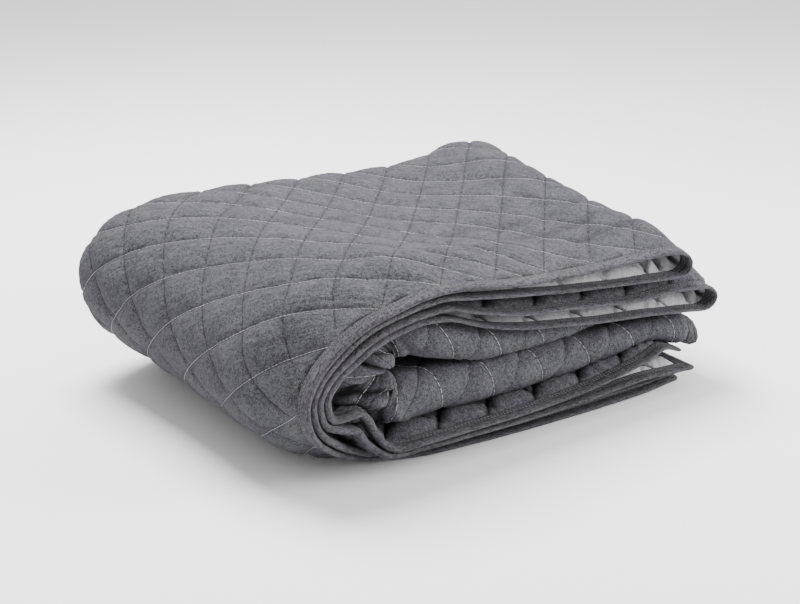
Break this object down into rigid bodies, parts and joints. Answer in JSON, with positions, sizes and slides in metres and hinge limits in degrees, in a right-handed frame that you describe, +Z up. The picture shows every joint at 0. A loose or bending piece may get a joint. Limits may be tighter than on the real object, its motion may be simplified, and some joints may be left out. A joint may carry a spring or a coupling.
{
  "type": "quilted throw",
  "caption": "Folded quilted throw with dark diamond-quilted face, pale reverse and narrow bound edges.",
  "frame": {"origin": "on the flat underside of the lowest layer, under about the middle of the folded block", "axes": "+Z up, +X along the folded block away from its round bend, +Y from the open front edges to the back folds"},
  "size_m": [0.4982, 0.3718, 0.1713],
  "materials": {
    "quilted_face": "soft brushed charcoal melange, matt, quilted in diamonds",
    "pale_reverse": "soft light grey melange, matt",
    "binding_strip": "dark charcoal ribbed strip, matt",
    "quilting_thread": "fine light grey thread"
  },
  "bodies": {
    "root": {"quilt_panel": "quilted_face", "binding": "binding_strip"}
  },
  "joints": []
}
